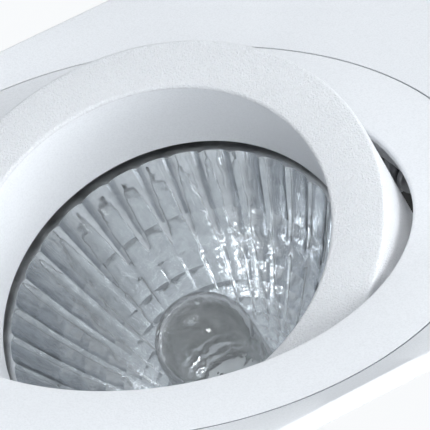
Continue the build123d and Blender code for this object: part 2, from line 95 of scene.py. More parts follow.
def colour(label, words, value):
    """A surface colour that a user may change."""
    return bpy.props.FloatVectorProperty(
        name=label, description=words, default=value, size=3, min=0.0, max=1.0, subtype="COLOR"
    )


def number(label, words, value):
    """A plain number that a user may change."""
    return bpy.props.FloatProperty(name=label, description=words, default=value)


def count(label, words, value):
    """A whole number that a user may change."""
    return bpy.props.IntProperty(name=label, description=words, default=value, min=1)


class PlateSizes(bpy.types.PropertyGroup):
    """Sizes of the trim plate and its collar"""

    rim: length("Rim", "Radius of the rolled rim round the dish", 0.8)
    corner: length("Corner", "Radius of the plate's upright corners", 1.2)
    face_drop: length("Face drop", "Swivel ring's face below the ceiling", 1.0)
    chamfer: length("Back chamfer", "Chamfer that floats the edge off the ceiling", 1.0)
    well: length("Well radius", "Round well that takes the swivel ring", 43.45)
    well_top: length("Well top", "Ledge over the swivel ring's flange", 0.9)
    bore: length("Ledge bore", "Bore that the swivel ring's barrel runs in", 37.68)
    ledge_top: length("Ledge top", "Top of the thin ledge", 2.0)
    pocket: length("Pocket radius", "Pocket round the snap ring", 39.6)
    seat: length("Seat height", "Seat of the clip brackets", 4.8)
    collar: length("Collar radius", "Outside of the collar", 45.0)
    collar_wall: length("Collar wall", "Thickness of the collar's wall", 1.8)
    collar_top: length("Collar top", "Height of the collar", 9.0)
    clip_gap: length("Clip gap", "Width of the collar's gap at each clip", 16.4)
    nose: length("Stop nose", "Reach of the swivel stop over the snap ring", 1.7)
    nose_width: length("Nose width", "Width of the swivel stop's nose", 4.0)
    nose_height: length("Nose height", "Thickness of the swivel stop's nose", 1.3)


class RingSizes(bpy.types.PropertyGroup):
    """Sizes of the swivel ring and of the tilting lamp ring"""

    swivel: length("Swivel radius", "Outside of the swivel ring's flange", 43.2)
    swivel_bore: length("Swivel bore", "Bore of the swivel ring", 33.1)
    flange: length("Flange", "Thickness of the swivel ring's flange", 1.85)
    lip: length("Lip", "Thickness of the swivel ring's inner lip", 1.0)
    barrel: length("Barrel radius", "Outside of the swivel ring's barrel", 37.6)
    barrel_wall: length("Barrel wall", "Thickness of the barrel", 2.2)
    barrel_top: length("Barrel top", "Height of the barrel", 4.8)
    lug_top: length("Lug top", "Height of the pivot lugs", 8.7)
    lug_width: length("Lug width", "Width of the pivot lugs", 14.0)
    groove: length("Groove depth", "Snap ring's groove", 0.7)
    groove_low: length("Groove low edge", "Lower edge of the snap ring's groove", 2.5)
    groove_high: length("Groove high edge", "Upper edge of the snap ring's groove", 3.25)
    boss_width: length("Boss width", "Width of the pivot bosses", 9.0)
    pivot_hole: length("Pivot hole", "Radius of the pivot screws' holes", 1.65)
    tab_width: length("Tab width", "Width of the swivel stop's tab", 6.0)
    tab_height: length("Tab height", "Thickness of the swivel stop's tab", 1.3)
    tab_reach: length("Tab reach", "Radius of the tab's end", 39.3)
    band: length("Band radius", "Outside of the lamp ring", 31.75)
    front: length("Front", "Lamp ring's face ahead of the pivots", 5.8)
    rear: length("Band rear", "End of the solid band behind the pivots", 1.8)
    skirt: length("Skirt rear", "End of the skirt behind the pivots", 18.0)
    skirt_wall: length("Skirt wall", "Thickness of the skirt", 1.8)
    mouth: length("Mouth radius", "Front opening of the baffle", 24.5)
    throat: length("Throat radius", "Rear opening of the baffle", 24.2)
    baffle: length("Baffle depth", "From the face to the lamp's seat", 13.1)
    cup: length("Cup radius", "Inside of the lamp cup", 25.7)
    cup_wall: length("Cup wall", "Thickness of the lamp cup", 1.6)
    cup_depth: length("Cup depth", "Length of the lamp cup", 5.9)
    front_round: length("Front rounding", "Softened front edges", 0.5)
    edge_round: length("Edge rounding", "Softened outer edge of the swivel ring's face", 0.04)
    inner_round: length("Inner rounding", "Softened edges inside the skirt", 0.3)
    rear_round: length("Rear rounding", "Rounded rear edge of the skirt", 0.8)
    socket: length("Pivot socket", "Radius of the lamp ring's pivot sockets", 1.35)
    socket_depth: length("Socket depth", "Depth of the lamp ring's pivot sockets", 3.35)


class LampSizes(bpy.types.PropertyGroup):
    """Sizes of the reflector lamp"""

    rim: length("Rim radius", "Outside of the reflector's rim", 25.0)
    front: length("Glass front", "Front glass behind the pivots", 7.7)
    glass: length("Glass", "Thickness of the front glass", 1.0)
    glass_inset: length("Glass inset", "Front glass inside the rim's outside", 0.1)
    glass_round: length("Glass rounding", "Front edge of the front glass", 0.3)
    glass_back_round: length("Glass back rounding", "Rear edge of the front glass", 0.1)
    rim_height: length("Rim height", "Height of the reflector's rim", 2.1)
    mouth: length("Bowl mouth", "Radius of the bowl's mouth", 23.6)
    neck: length("Bowl neck", "Radius of the bowl's neck", 7.0)
    depth: length("Bowl depth", "Depth of the bowl", 24.3)
    wall: length("Bowl wall", "Thickness of the bowl", 2.2)
    neck_wall: length("Neck wall", "Thickness of the neck", 2.5)
    neck_length: length("Neck length", "Length of the neck", 4.3)
    flute_depth: length("Flute depth", "Hollow of a flute at the mouth", 0.42)
    flutes: count("Flutes", "Flutes round the bowl", 34)
    flute_steps: count("Flute steps", "Mesh steps across one flute", 8)
    rows: count("Facet rows", "Rows of facets below the plain top row", 9)
    row_steps: count("Row steps", "Mesh steps down one row", 4)
    row_bulge: length("Row bulge", "Bulge of a facet between its row's edges", 0.07)
    top_row: length("Top row", "Radius at the foot of the plain top row", 19.6)
    capsule: length("Capsule radius", "Outside of the capsule", 6.6)
    capsule_wall: length("Capsule wall", "Thickness of the capsule", 0.8)
    capsule_front: length("Capsule front", "Capsule's dome behind the front glass", 3.7)
    capsule_length: length("Capsule length", "Length of the capsule", 22.3)


class Finishes(bpy.types.PropertyGroup):
    """Colours of the finishes"""

    white: colour("White coat", "Powder coat", (0.83, 0.845, 0.87))
    # Satin white: a real smooth satin finish, painted lighter than the white coat to stand in for the light
    # that the baffle catches
    satin: colour("Satin white", "Inside of the baffle", (0.915, 0.935, 0.965))
    # Cup shade: near black, painted shade for the dark gap between the baffle's rear edge and the lamp's
    # glass
    cup_shade: colour("Cup lining", "Dark primer in the lamp cup", (0.02, 0.022, 0.026))
    # Gap shade: dark grey, painted shade on the swivel ring's running edge for the shadowed gap round its
    # flange
    gap_shade: colour("Primer", "Running edge of the swivel ring", (0.36, 0.375, 0.41))
    mirror: colour("Mirror coat", "Metallised reflector", (0.87, 0.89, 0.91))
    zinc: colour("Zinc", "Zinc plated sheet", (0.52, 0.53, 0.55))
    steel: colour("Steel", "Turned steel", (0.56, 0.56, 0.57))
    wire: colour("Spring wire", "Drawn spring wire", (0.36, 0.37, 0.39))
    nylon: colour("Nylon", "Washers", (0.78, 0.76, 0.70))
    rubber: colour("Rubber", "Clip pads", (0.60, 0.61, 0.62))
    ceramic: colour("Ceramic", "Lamp base and holder", (0.78, 0.75, 0.68))
    nickel: colour("Nickel", "Lamp pins", (0.66, 0.64, 0.60))
    brass: colour("Brass", "Holder contacts", (0.70, 0.52, 0.22))
    tungsten: colour("Tungsten", "Filament", (0.20, 0.20, 0.21))
    seal: colour("Seal", "Cloudy quartz of the capsule's seal", (0.72, 0.73, 0.74))
    glass: colour("Glass", "Front glass and capsule", (0.97, 0.98, 0.985))


class StageSettings(bpy.types.PropertyGroup):
    """Camera, lights and surroundings"""

    lens: number("Lens", "Focal length on a 36 mm sensor", 502.3)
    distance: length("Distance", "Camera to target", 765.42)
    target: bpy.props.FloatVectorProperty(
        name="Target",
        description="Point that the camera looks at",
        default=(-8.01 * MM, -2.06 * MM, -1.0 * MM),
        subtype="TRANSLATION",
        unit="LENGTH",
    )
    key: number("Key", "Strength of the soft key light", 5.6)
    sparkle: number("Sparkle", "Strength of the small light that the facets mirror", 3.7)
    fill: number("Fill", "Strength of the soft light near the camera", 3.4)
    top: number("Top", "Strength of the light above the ceiling", 9.0)
    ambient: number("Ambient", "Strength of the world's light from the room below", 0.52)
    overhead: number("Overhead", "Strength of the world's light from the void above", 0.16)
    void: number("Void", "Brightness of the void where the camera sees it", 0.03)
    pool: number("Pool", "Strength of the light on the floor", 92.0)
    floor_drop: length("Floor", "Floor below the ceiling", 3200.0)
    floor_side: length("Floor side", "Side of the square floor", 12000.0)
    panel: length("Panel", "Width of the round ceiling panel", 3000.0)
    panel_gap: length("Panel gap", "Ceiling panel below the plate's back", 0.05)
    cut_out: length("Cut-out", "Radius of the ceiling's cut-out", 46.0)
    room_light: colour("Room light", "World's light", (0.90, 0.95, 1.0))
    room_look: colour("Room look", "World where the camera sees it", (0.93, 0.95, 0.97))
    ceiling_paint: colour("Ceiling paint", "Ceiling as it lights the part", (0.9, 0.92, 0.94))
    ceiling_look: colour("Ceiling look", "Ceiling where it shows", (0.945, 0.96, 0.975))
    floor_dark: colour("Floor dark", "Darker tone of the floor paint", (0.84, 0.85, 0.86))
    floor_light: colour("Floor light", "Lighter tone of the floor paint", (0.88, 0.89, 0.90))
    floor_look: colour("Floor look", "Even tone where the floor shows", (0.76, 0.78, 0.80))
    floor_share: number("Floor share", "Share of the even tone where the floor shows", 0.5)


def on_axis(radius, height):
    """Point of a section through the swivel axis."""
    return Vector((radius, 0, height))


def on_head(radius, depth):
    """Point of a section through the lamp's axis, at a depth behind the pivots."""
    return PIVOT + TILT * radius + REAR * depth


def start_piece(name):
    """Adds a small plane as the start of a piece, alone selected, in edit mode."""
    if bpy.context.object and bpy.context.object.mode != "OBJECT":
        bpy.ops.object.mode_set(mode="OBJECT")
    bpy.ops.object.select_all(action="DESELECT")
    bpy.ops.mesh.primitive_plane_add(size=MM)
    piece = bpy.context.object
    piece.name = name
    piece.data.name = name
    bpy.ops.object.mode_set(mode="EDIT")
    bpy.ops.mesh.select_mode(type="VERT")
    return piece


def end_piece(piece):
    """Merges doubles, points the faces outwards and shades the piece."""
    bpy.ops.object.mode_set(mode="EDIT")
    bpy.ops.mesh.select_all(action="SELECT")
    bpy.ops.mesh.remove_doubles(threshold=MERGE)
    bpy.ops.mesh.delete_loose(use_verts=True, use_edges=True)
    bpy.ops.mesh.select_all(action="SELECT")
    bpy.ops.mesh.normals_make_consistent(inside=False)
    bpy.ops.object.mode_set(mode="OBJECT")
    bpy.ops.object.select_all(action="DESELECT")
    piece.select_set(True)
    bpy.context.view_layer.objects.active = piece
    bpy.ops.object.shade_smooth_by_angle(angle=SMOOTH)
    return piece


def select_points(test):
    """Selects the points of the edited mesh that pass a test."""
    bpy.ops.mesh.select_mode(type="VERT")
    bpy.ops.mesh.select_all(action="DESELECT")
    mesh = bpy.context.object.data
    cage = bmesh.from_edit_mesh(mesh)
    for point in cage.verts:
        if test(point.co):
            point.select_set(True)
    cage.select_flush(True)
    bmesh.update_edit_mesh(mesh)


def trace(corners, place):
    """Draws a closed section by extruding one point, then rounds its corners.

    A corner is (radius, along) or (radius, along, rounding), and place puts it in the frame.
    """
    spots = [place(*corner[:2]) for corner in corners]
    bpy.ops.mesh.select_all(action="SELECT")
    bpy.ops.mesh.merge(type="CENTER")
    bpy.ops.transform.translate(value=spots[0])
    for here, there in zip(spots, spots[1:] + spots[:1]):
        bpy.ops.mesh.extrude_region_move(TRANSFORM_OT_translate={"value": there - here})
    bpy.ops.mesh.select_all(action="SELECT")
    bpy.ops.mesh.remove_doubles(threshold=MERGE)
    for corner, spot in zip(corners, spots):
        if len(corner) > 2:
            select_points(lambda co: (co - spot).length < CORNER)
            bpy.ops.mesh.bevel(affect="VERTICES", offset=corner[2], segments=ROUND_STEPS)


def turned(name, corners, place, centre, axis, steps=RING_STEPS):
    """A ring or disc turned from a section."""
    piece = start_piece(name)
    trace(corners, place)
    bpy.ops.mesh.select_all(action="SELECT")
    bpy.ops.mesh.spin(steps=steps, angle=tau, center=centre, axis=axis)
    return end_piece(piece)


def block(name, centre, sizes, turn):
    """A cutter or lug: a cube resized, turned and put in place."""
    if bpy.context.object and bpy.context.object.mode != "OBJECT":
        bpy.ops.object.mode_set(mode="OBJECT")
    bpy.ops.object.select_all(action="DESELECT")
    bpy.ops.mesh.primitive_cube_add(size=1)
    piece = bpy.context.object
    piece.name = name
    piece.data.transform(Matrix.Translation(centre) @ turn.to_4x4() @ Matrix.Diagonal((*sizes, 1)))
    return piece


def rod(name, start, end, radius, sides=48):
    """A cutter: a cylinder between two points."""
    bpy.ops.object.select_all(action="DESELECT")
    bpy.ops.mesh.primitive_cylinder_add(vertices=sides, radius=radius, depth=(end - start).length)
    piece = bpy.context.object
    piece.name = name
    turn = (end - start).to_track_quat("Z", "Y").to_matrix().to_4x4()
    piece.data.transform(Matrix.Translation((start + end) / 2) @ turn)
    return piece


def combine(piece, tool, how):
    """Joins a lug to a piece or takes a cutter from it, and removes the tool."""
    bpy.ops.object.select_all(action="DESELECT")
    piece.select_set(True)
    bpy.context.view_layer.objects.active = piece
    change = piece.modifiers.new(how.lower(), "BOOLEAN")
    change.object = tool
    change.operation = how
    change.solver = "EXACT"
    bpy.ops.object.modifier_apply(modifier=change.name)
    bpy.data.objects.remove(tool)


def sector_turn(azimuth):
    """Turn that takes the X axis to an azimuth about the swivel axis."""
    return Matrix.Rotation(radians(azimuth), 3, "Z")


class Shader:
    """A material's node tree with a few short words for making it."""

    # Values between which most of a noise pattern lies
    noise_low = 0.3
    noise_high = 0.7

    def __init__(self, name):
        self.material = bpy.data.materials.new(name)
        self.material.use_nodes = True
        self.tree = self.material.node_tree
        self.surface = self.tree.nodes["Principled BSDF"]

    def node(self, kind):
        """Adds a node."""
        return self.tree.nodes.new("ShaderNode" + kind)

    def link(self, source, target):
        """Links two sockets."""
        self.tree.links.new(source, target)

    def set(self, **values):
        """Sets inputs of the surface by name."""
        for key, value in values.items():
            socket = self.surface.inputs[key.replace("_", " ")]
            socket.default_value = (*value, 1.0) if socket.type == "RGBA" else value

    def noise(self, scale, detail=3.0, stretch=None):
        """A noise pattern that stays on the piece, drawn out along an axis where stretch says so."""
        coords = self.node("TexCoord").outputs["Object"]
        if stretch:
            mapping = self.node("Mapping")
            mapping.inputs["Scale"].default_value = stretch
            self.link(coords, mapping.inputs["Vector"])
            coords = mapping.outputs["Vector"]
        texture = self.node("TexNoise")
        texture.inputs["Scale"].default_value = scale
        texture.inputs["Detail"].default_value = detail
        self.link(coords, texture.inputs["Vector"])
        return texture.outputs["Fac"]

    def ramp(self, source, low, high, dark, light):
        """Maps a pattern to two colours between two of its values."""
        ramp = self.node("ValToRGB")
        ramp.color_ramp.elements[0].position = low
        ramp.color_ramp.elements[1].position = high
        ramp.color_ramp.elements[0].color = (*dark, 1.0)
        ramp.color_ramp.elements[1].color = (*light, 1.0)
        self.link(source, ramp.inputs["Fac"])
        return ramp.outputs["Color"]

    def spread(self, source, low, high):
        """Maps a noise pattern to a range of numbers."""
        spread = self.node("MapRange")
        spread.inputs["From Min"].default_value = self.noise_low
        spread.inputs["From Max"].default_value = self.noise_high
        spread.inputs["To Min"].default_value = low
        spread.inputs["To Max"].default_value = high
        self.link(source, spread.inputs["Value"])
        return spread.outputs["Result"]

    def bump(self, source, depth, strength=1.0):
        """Turns a pattern into relief."""
        bump = self.node("Bump")
        bump.inputs["Strength"].default_value = strength
        bump.inputs["Distance"].default_value = depth
        self.link(source, bump.inputs["Height"])
        return bump.outputs["Normal"]

    def finish(self, colour=None, rough=None, normal=None):
        """Links the patterns to the surface."""
        for source, name in ((colour, "Base Color"), (rough, "Roughness"), (normal, "Normal")):
            if source:
                self.link(source, self.surface.inputs[name])
        return self.material

    def mix(self, share, first, second):
        """Goes from one shader at share 0 to another at share 1."""
        choice = self.node("MixShader")
        self.link(share, choice.inputs["Fac"])
        self.link(first, choice.inputs[1])
        self.link(second, choice.inputs[2])
        return choice.outputs["Shader"]

    def show(self, shader):
        """Makes a mixed shader the material's surface."""
        self.link(shader, self.tree.nodes["Material Output"].inputs["Surface"])
        return self.material


def darker(colour, share):
    """The same colour with a share of its light."""
    return tuple(channel * share for channel in colour)


def powder_coat(name, colour, grain_depth):
    """Powder coat, or a dark coat of painted shade: fine orange-peel grain with a faint mottle."""
    shader = Shader(name)
    grain = shader.noise(scale=4600.0)
    mottle = shader.noise(scale=180.0)
    tone = shader.ramp(grain, low=0.32, high=0.6, dark=darker(colour, 0.93), light=colour)
    rough = shader.spread(mottle, low=0.5, high=0.6)
    shader.set(Specular_IOR_Level=0.28)
    return shader.finish(tone, rough, shader.bump(grain, grain_depth))


def plated_sheet(name, colour):
    """Zinc plated sheet: blotchy spangle and rolling streaks."""
    shader = Shader(name)
    spangle = shader.noise(scale=420.0, detail=4.0)
    streaks = shader.noise(scale=900.0, detail=2.0, stretch=(0.06, 1.0, 1.0))
    tone = shader.ramp(spangle, low=0.35, high=0.68, dark=darker(colour, 0.82), light=colour)
    rough = shader.spread(streaks, low=0.3, high=0.46)
    shader.set(Metallic=1.0)
    return shader.finish(tone, rough, shader.bump(streaks, depth=0.02 * MM, strength=0.5))


def drawn_metal(name, colour, rough):
    """Turned or drawn metal: fine lines and a slight tarnish."""
    shader = Shader(name)
    lines = shader.noise(scale=2600.0, detail=2.0, stretch=(1.0, 1.0, 0.12))
    tarnish = shader.noise(scale=350.0)
    tone = shader.ramp(tarnish, low=0.3, high=0.7, dark=darker(colour, 0.78), light=colour)
    uneven = shader.spread(lines, low=rough, high=rough + 0.14)
    shader.set(Metallic=1.0)
    return shader.finish(tone, uneven, shader.bump(lines, depth=0.01 * MM, strength=0.4))


def moulded(name, colour, rough, grain):
    """Moulded plastic or rubber: a soft mottle and a fine mould texture."""
    shader = Shader(name)
    mottle = shader.noise(scale=260.0)
    skin = shader.noise(scale=grain, detail=2.0)
    tone = shader.ramp(mottle, low=0.3, high=0.7, dark=darker(colour, 0.9), light=colour)
    uneven = shader.spread(skin, low=rough, high=rough + 0.15)
    return shader.finish(tone, uneven, shader.bump(skin, depth=0.02 * MM, strength=0.5))


def fired_ceramic(name, colour):
    """Unglazed ceramic: warm speckle and a chalky surface."""
    shader = Shader(name)
    speckle = shader.noise(scale=1500.0, detail=2.0)
    clouds = shader.noise(scale=120.0)
    tone = shader.ramp(speckle, low=0.28, high=0.5, dark=darker(colour, 0.86), light=colour)
    rough = shader.spread(clouds, low=0.55, high=0.75)
    return shader.finish(tone, rough, shader.bump(speckle, depth=0.03 * MM, strength=0.6))


def mirror_coat(name, colour, least, most):
    """Vacuum metallised glass: slightly wavy mirror with a faint haze, between two roughnesses."""
    shader = Shader(name)
    haze = shader.noise(scale=500.0)
    waves = shader.noise(scale=420.0, detail=1.0)
    tone = shader.ramp(haze, low=0.3, high=0.7, dark=darker(colour, 0.84), light=colour)
    rough = shader.spread(haze, least, most)
    shader.set(Metallic=1.0)
    return shader.finish(tone, rough, shader.bump(waves, depth=0.15 * MM, strength=0.4))


def clear_glass(name, colour, ior, clearness=1.0, waves=60.0, wave_depth=0.01 * MM):
    """Glass that lets shadow rays through, with a faint ripple. Clearness under 1 leaves a haze."""
    shader = Shader(name)
    ripple = shader.noise(scale=waves, detail=2.0)
    shader.set(Base_Color=colour, Transmission_Weight=clearness, Roughness=0.0, IOR=ior)
    shader.finish(normal=shader.bump(ripple, wave_depth, strength=0.2))
    clear = shader.node("BsdfTransparent")
    clear.inputs["Color"].default_value = (*colour, 1.0)
    shadow = shader.node("LightPath").outputs["Is Shadow Ray"]
    return shader.show(shader.mix(shadow, shader.surface.outputs["BSDF"], clear.outputs["BSDF"]))


def dress(piece, *materials):
    """Gives a piece its materials, the first one all over."""
    piece.data.materials.clear()
    for material in materials:
        piece.data.materials.append(material)


def stand_for(piece, node, body):
    """The piece replaces a node and rides on its body."""
    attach(piece, body)
    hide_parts(node)


class SPOT_OT_trim_plate(bpy.types.Operator):
    """Models the dished plate with its well, collar, clip gaps and swivel stop"""

    bl_idname = "spot.trim_plate"
    bl_label = "Trim plate"
    # Mesh steps of the rolled outer edge, and cuts in each side of the rim
    roll_steps = 5
    side_cuts = 63
    # Azimuths of the clips and of the swivel stop, in degrees
    clip_azimuths = (0, 180)
    stop_azimuth = 90
    # Length of a clip gap's cutter across the collar
    cutter_length = 8 * MM
    # An upright corner edge is longer than this, and lies beyond this share of the plate's half side
    corner_rise = 0.5 * MM
    corner_share = 0.98

    def execute(self, context):
        sizes = context.scene.spot_plate
        low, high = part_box("trim_plate")
        outer = Vector((high.x, high.y))
        rim = outer - Vector((sizes.rim, sizes.rim))
        face = -sizes.face_drop
        piece = start_piece("plate_casting")
        bpy.ops.mesh.select_all(action="SELECT")
        bpy.ops.transform.resize(value=(2 * rim.x / MM, 2 * rim.y / MM, 1))
        bpy.ops.transform.translate(value=(0, 0, low.z))
        bpy.ops.mesh.delete(type="ONLY_FACE")
        bpy.ops.mesh.select_all(action="SELECT")
        bpy.ops.mesh.subdivide(number_cuts=self.side_cuts)
        # Dish: from the rim to the round well, each side of the rim on its own arc
        self.grow(lambda co: self.on_well(co, rim, sizes.well, face))
        collar_inner = sizes.collar - sizes.collar_wall
        for radius, height in (
            (sizes.well, sizes.well_top),
            (sizes.bore, sizes.well_top),
            (sizes.bore, sizes.ledge_top),
            (sizes.pocket, sizes.ledge_top),
            (sizes.pocket, sizes.seat),
            (collar_inner, sizes.seat),
            (collar_inner, sizes.collar_top),
            (sizes.collar, sizes.collar_top),
            (sizes.collar, 0.0),
        ):
            self.grow(lambda co: Vector((*(co.xy.normalized() * radius), height)))
        # Edge: rim, side wall and back chamfer
        select_points(lambda co: abs(co.z - low.z) < SAME)
        back = outer - Vector((sizes.chamfer, sizes.chamfer))
        here = rim
        edge = []
        for step in range(1, self.roll_steps + 1):
            turn = pi / 2 * step / self.roll_steps
            reach = sizes.rim * Vector((sin(turn), sin(turn)))
            edge.append((rim + reach, low.z + sizes.rim * (1 - cos(turn))))
        for there, height in (*edge, (outer, -sizes.chamfer), (back, 0.0)):
            factor = Vector((there.x / here.x, there.y / here.y))
            self.grow(lambda co: Vector((co.x * factor.x, co.y * factor.y, height)))
            here = there
        select_points(lambda co: abs(co.z) < SAME)
        bpy.ops.mesh.bridge_edge_loops()
        # Upright corners of the edge
        self.select_corners(outer)
        bpy.ops.mesh.bevel(affect="EDGES", offset=sizes.corner, segments=ROUND_STEPS)
        end_piece(piece)
        self.cut_collar(piece, sizes)
        end_piece(piece)
        dress(piece, powder_coat("white_coat_plate", context.scene.spot_finish.white, CAST_GRAIN))
        stand_for(piece, "trim_plate", "plate")
        return {"FINISHED"}

    def grow(self, place):
        """Extrudes the selected loop and puts each new point in place."""
        bpy.ops.mesh.extrude_edges_move()
        mesh = bpy.context.object.data
        cage = bmesh.from_edit_mesh(mesh)
        for point in cage.verts:
            if point.select:
                point.co = place(point.co)
        bmesh.update_edit_mesh(mesh)

    def on_well(self, co, rim, radius, height):
        """The well's point for a point of the rim: equal shares of a side and of its arc."""
        corner = atan2(rim.y, rim.x)
        if abs(abs(co.y) - rim.y) < SAME:
            turn = pi / 2 - co.x / rim.x * (pi / 2 - corner)
            turn = turn if co.y > 0 else -turn
        else:
            turn = co.y / rim.y * corner
            turn = turn if co.x > 0 else pi - turn
        return Vector((radius * cos(turn), radius * sin(turn), height))

    def select_corners(self, outer):
        """Selects the four upright edges and the chamfer edges that go on from them."""
        bpy.ops.mesh.select_mode(type="EDGE")
        bpy.ops.mesh.select_all(action="DESELECT")
        mesh = bpy.context.object.data
        cage = bmesh.from_edit_mesh(mesh)
        for edge in cage.edges:
            ends = [point.co for point in edge.verts]
            at_corner = all(abs(outer.x - abs(co.x) - outer.y + abs(co.y)) < SAME for co in ends)
            rises = abs(ends[0].z - ends[1].z) > self.corner_rise
            outside = all(abs(co.x) > outer.x * self.corner_share for co in ends)
            if at_corner and rises and outside:
                edge.select_set(True)
        bmesh.update_edit_mesh(mesh)

    def cut_collar(self, piece, sizes):
        """Cuts the clip gaps from the collar and adds the stop nose."""
        rise = sizes.collar_top - sizes.seat
        for azimuth in self.clip_azimuths:
            turn = sector_turn(azimuth)
            middle = turn @ Vector((sizes.collar, 0, sizes.seat + rise))
            cutter = block("clip_gap", middle, (self.cutter_length, sizes.clip_gap, 2 * rise), turn)
            combine(piece, cutter, "DIFFERENCE")
        turn = sector_turn(self.stop_azimuth)
        reach = sizes.nose + sizes.collar_wall
        middle = Vector((sizes.pocket - sizes.nose + reach / 2, 0, sizes.seat - sizes.nose_height / 2))
        nose = block("stop_nose", turn @ middle, (reach, sizes.nose_width, sizes.nose_height), turn)
        combine(piece, nose, "UNION")


class SPOT_OT_swivel_ring(bpy.types.Operator):
    """Models the flush ring with its barrel, snap groove, pivot bosses and stop tab"""

    bl_idname = "spot.swivel_ring"
    bl_label = "Swivel ring"
    # Azimuth of the stop tab, in degrees
    tab_azimuth = 270

    def execute(self, context):
        sizes = context.scene.spot_ring
        face = -context.scene.spot_plate.face_drop
        top = face + sizes.flange
        lip = face + sizes.lip
        inner = sizes.barrel - sizes.barrel_wall
        groove = sizes.barrel - sizes.groove
        piece = turned(
            "swivel_casting",
            [
                (sizes.swivel_bore, face, sizes.front_round),
                (sizes.swivel, face, sizes.edge_round),
                (sizes.swivel, top),
                (sizes.barrel, top),
                (sizes.barrel, sizes.groove_low),
                (groove, sizes.groove_low),
                (groove, sizes.groove_high),
                (sizes.barrel, sizes.groove_high),
                (sizes.barrel, sizes.lug_top),
                (inner, sizes.lug_top),
                (inner, lip),
                (sizes.swivel_bore, lip),
            ],
            on_axis,
            (0, 0, 0),
            UP,
        )
        azimuth = degrees(atan2(TILT.y, TILT.x))
        waste = 2 * sizes.swivel
        for turn in (sector_turn(azimuth + 90), sector_turn(azimuth - 90)):
            middle = Vector((sizes.lug_width / 2 + waste / 2, 0, sizes.barrel_top + waste / 2))
            combine(piece, block("low_part", turn @ middle, (waste, 2 * waste, waste), turn), "DIFFERENCE")
        for turn in (sector_turn(azimuth), sector_turn(azimuth + 180)):
            depth = inner - sizes.swivel_bore + sizes.barrel_wall / 2
            rise = sizes.lug_top - lip
            middle = Vector((sizes.swivel_bore + depth / 2, 0, lip + rise / 2))
            combine(piece, block("boss", turn @ middle, (depth, sizes.boss_width, rise), turn), "UNION")
            near = turn @ Vector((sizes.swivel_bore - PAST, 0, PIVOT.z))
            far = turn @ Vector((sizes.barrel + PAST, 0, PIVOT.z))
            combine(piece, rod("pivot_hole", near, far, sizes.pivot_hole), "DIFFERENCE")
        turn = sector_turn(self.tab_azimuth)
        root = sizes.barrel - sizes.barrel_wall / 2
        middle = Vector(((root + sizes.tab_reach) / 2, 0, sizes.barrel_top - sizes.tab_height / 2))
        extent = (sizes.tab_reach - root, sizes.tab_width, sizes.tab_height)
        combine(piece, block("stop_tab", turn @ middle, extent, turn), "UNION")
        end_piece(piece)
        colours = context.scene.spot_finish
        coat = powder_coat("white_coat_swivel", colours.white, CAST_GRAIN)
        dress(piece, coat, powder_coat("painted_shade_running_edge", colours.gap_shade, THIN_GRAIN))
        # The upright running edge gets the dark grey coat: painted shade for the shadowed gap between the
        # flange and the plate's well
        running_edge = sizes.swivel - sizes.edge_round - SAME
        for facet in piece.data.polygons:
            if facet.center.xy.length > running_edge and abs(facet.normal.z) < UPRIGHT:
                facet.material_index = 1
        stand_for(piece, "swivel_ring", "swivel")
        return {"FINISHED"}


class SPOT_OT_tilt_ring(bpy.types.Operator):
    """Models the thick lamp ring with its baffle, lamp cup and pivot sockets"""

    bl_idname = "spot.tilt_ring"
    bl_label = "Lamp ring"

    def execute(self, context):
        sizes = context.scene.spot_ring
        seat = sizes.baffle - sizes.front
        cup_rear = seat + sizes.cup_depth
        outside = sizes.cup + sizes.cup_wall
        skirt = sizes.band - sizes.skirt_wall
        piece = turned(
            "lamp_ring_casting",
            [
                (sizes.mouth, -sizes.front, sizes.front_round),
                (sizes.band, -sizes.front, sizes.front_round),
                (sizes.band, sizes.skirt, sizes.rear_round),
                (skirt, sizes.skirt, sizes.inner_round),
                (skirt, sizes.rear),
                (outside, sizes.rear),
                (outside, cup_rear, sizes.inner_round),
                (sizes.cup, cup_rear, sizes.inner_round),
                (sizes.cup, seat),
                (sizes.throat, seat),
            ],
            on_head,
            PIVOT,
            REAR,
        )
        for way in (TILT, -TILT):
            bottom = PIVOT + way * (sizes.band - sizes.socket_depth)
            mouth = PIVOT + way * (sizes.band + PAST)
            combine(piece, rod("pivot_socket", bottom, mouth, sizes.socket), "DIFFERENCE")
        end_piece(piece)
        colours = context.scene.spot_finish
        coat = powder_coat("white_coat_lamp_ring", colours.white, COARSE_GRAIN)
        # The baffle's satin white is lighter than the coat: painted light on a real satin finish
        baffle = powder_coat("satin_baffle_and_painted_light", colours.satin, SATIN_GRAIN)
        # The third coat is near black: painted shade in the lamp cup
        dress(piece, coat, baffle, powder_coat("painted_shade_cup", colours.cup_shade, THIN_GRAIN))
        for face in piece.data.polygons:
            offset = face.center - PIVOT
            depth = offset.dot(REAR)
            radius = (offset - REAR * depth).length
            # Faces of the lamp cup behind the seat get the near-black coat of painted shade, for the dark
            # gap round the lamp's rim
            if radius < sizes.cup + SAME and depth > seat - SAME:
                face.material_index = 2
            # Faces of the baffle get the satin white with its painted light
            elif radius < sizes.mouth + SAME and depth > -sizes.front + sizes.front_round:
                face.material_index = 1
        stand_for(piece, "tilt_ring", "head")
        return {"FINISHED"}


